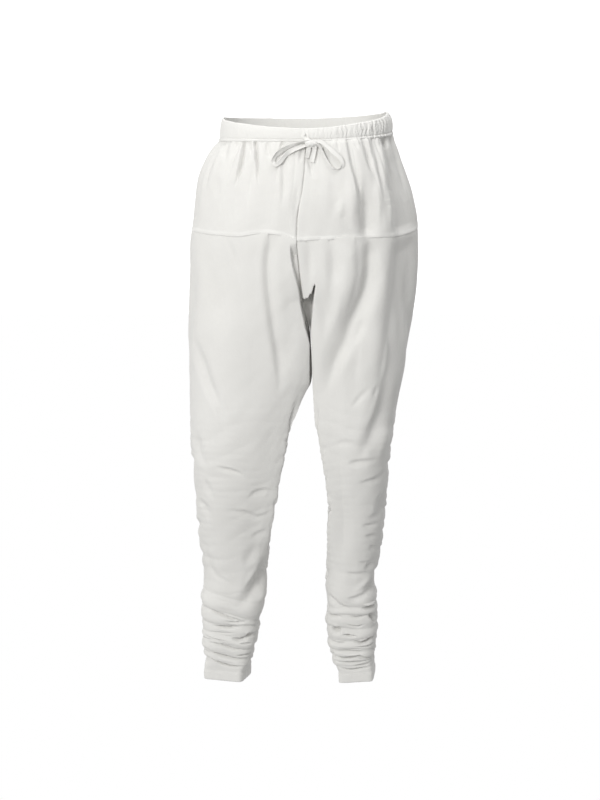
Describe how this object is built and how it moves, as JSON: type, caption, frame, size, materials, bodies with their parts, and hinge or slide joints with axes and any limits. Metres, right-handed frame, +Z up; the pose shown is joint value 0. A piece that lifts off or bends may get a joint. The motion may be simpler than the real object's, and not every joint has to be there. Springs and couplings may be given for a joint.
{
  "type": "churidar trousers in worn form",
  "caption": "Slim drawstring trousers in plain white cotton, worn form: gathered hip yoke, bias-cut legs and bunched folds above narrow cuffs.",
  "frame": {"origin": "middle of the waist, where the wearer holds the garment up", "axes": "+Z up, -Y the wearer's front, +X the wearer's left"},
  "size_m": [0.4, 0.2658, 1.0102],
  "materials": {
    "cotton": "plain-woven off-white cotton, matt and slightly see-through",
    "tape": "flat tape of the same off-white cotton"
  },
  "bodies": {
    "root": {"waistband": "cotton", "yoke_right": "cotton", "yoke_left": "cotton", "leg_right": "cotton", "leg_left": "cotton", "bow_knot": "tape", "bow_loop_right": "tape", "bow_loop_left": "tape", "tape_end_right": "tape", "tape_end_left": "tape"}
  },
  "joints": []
}
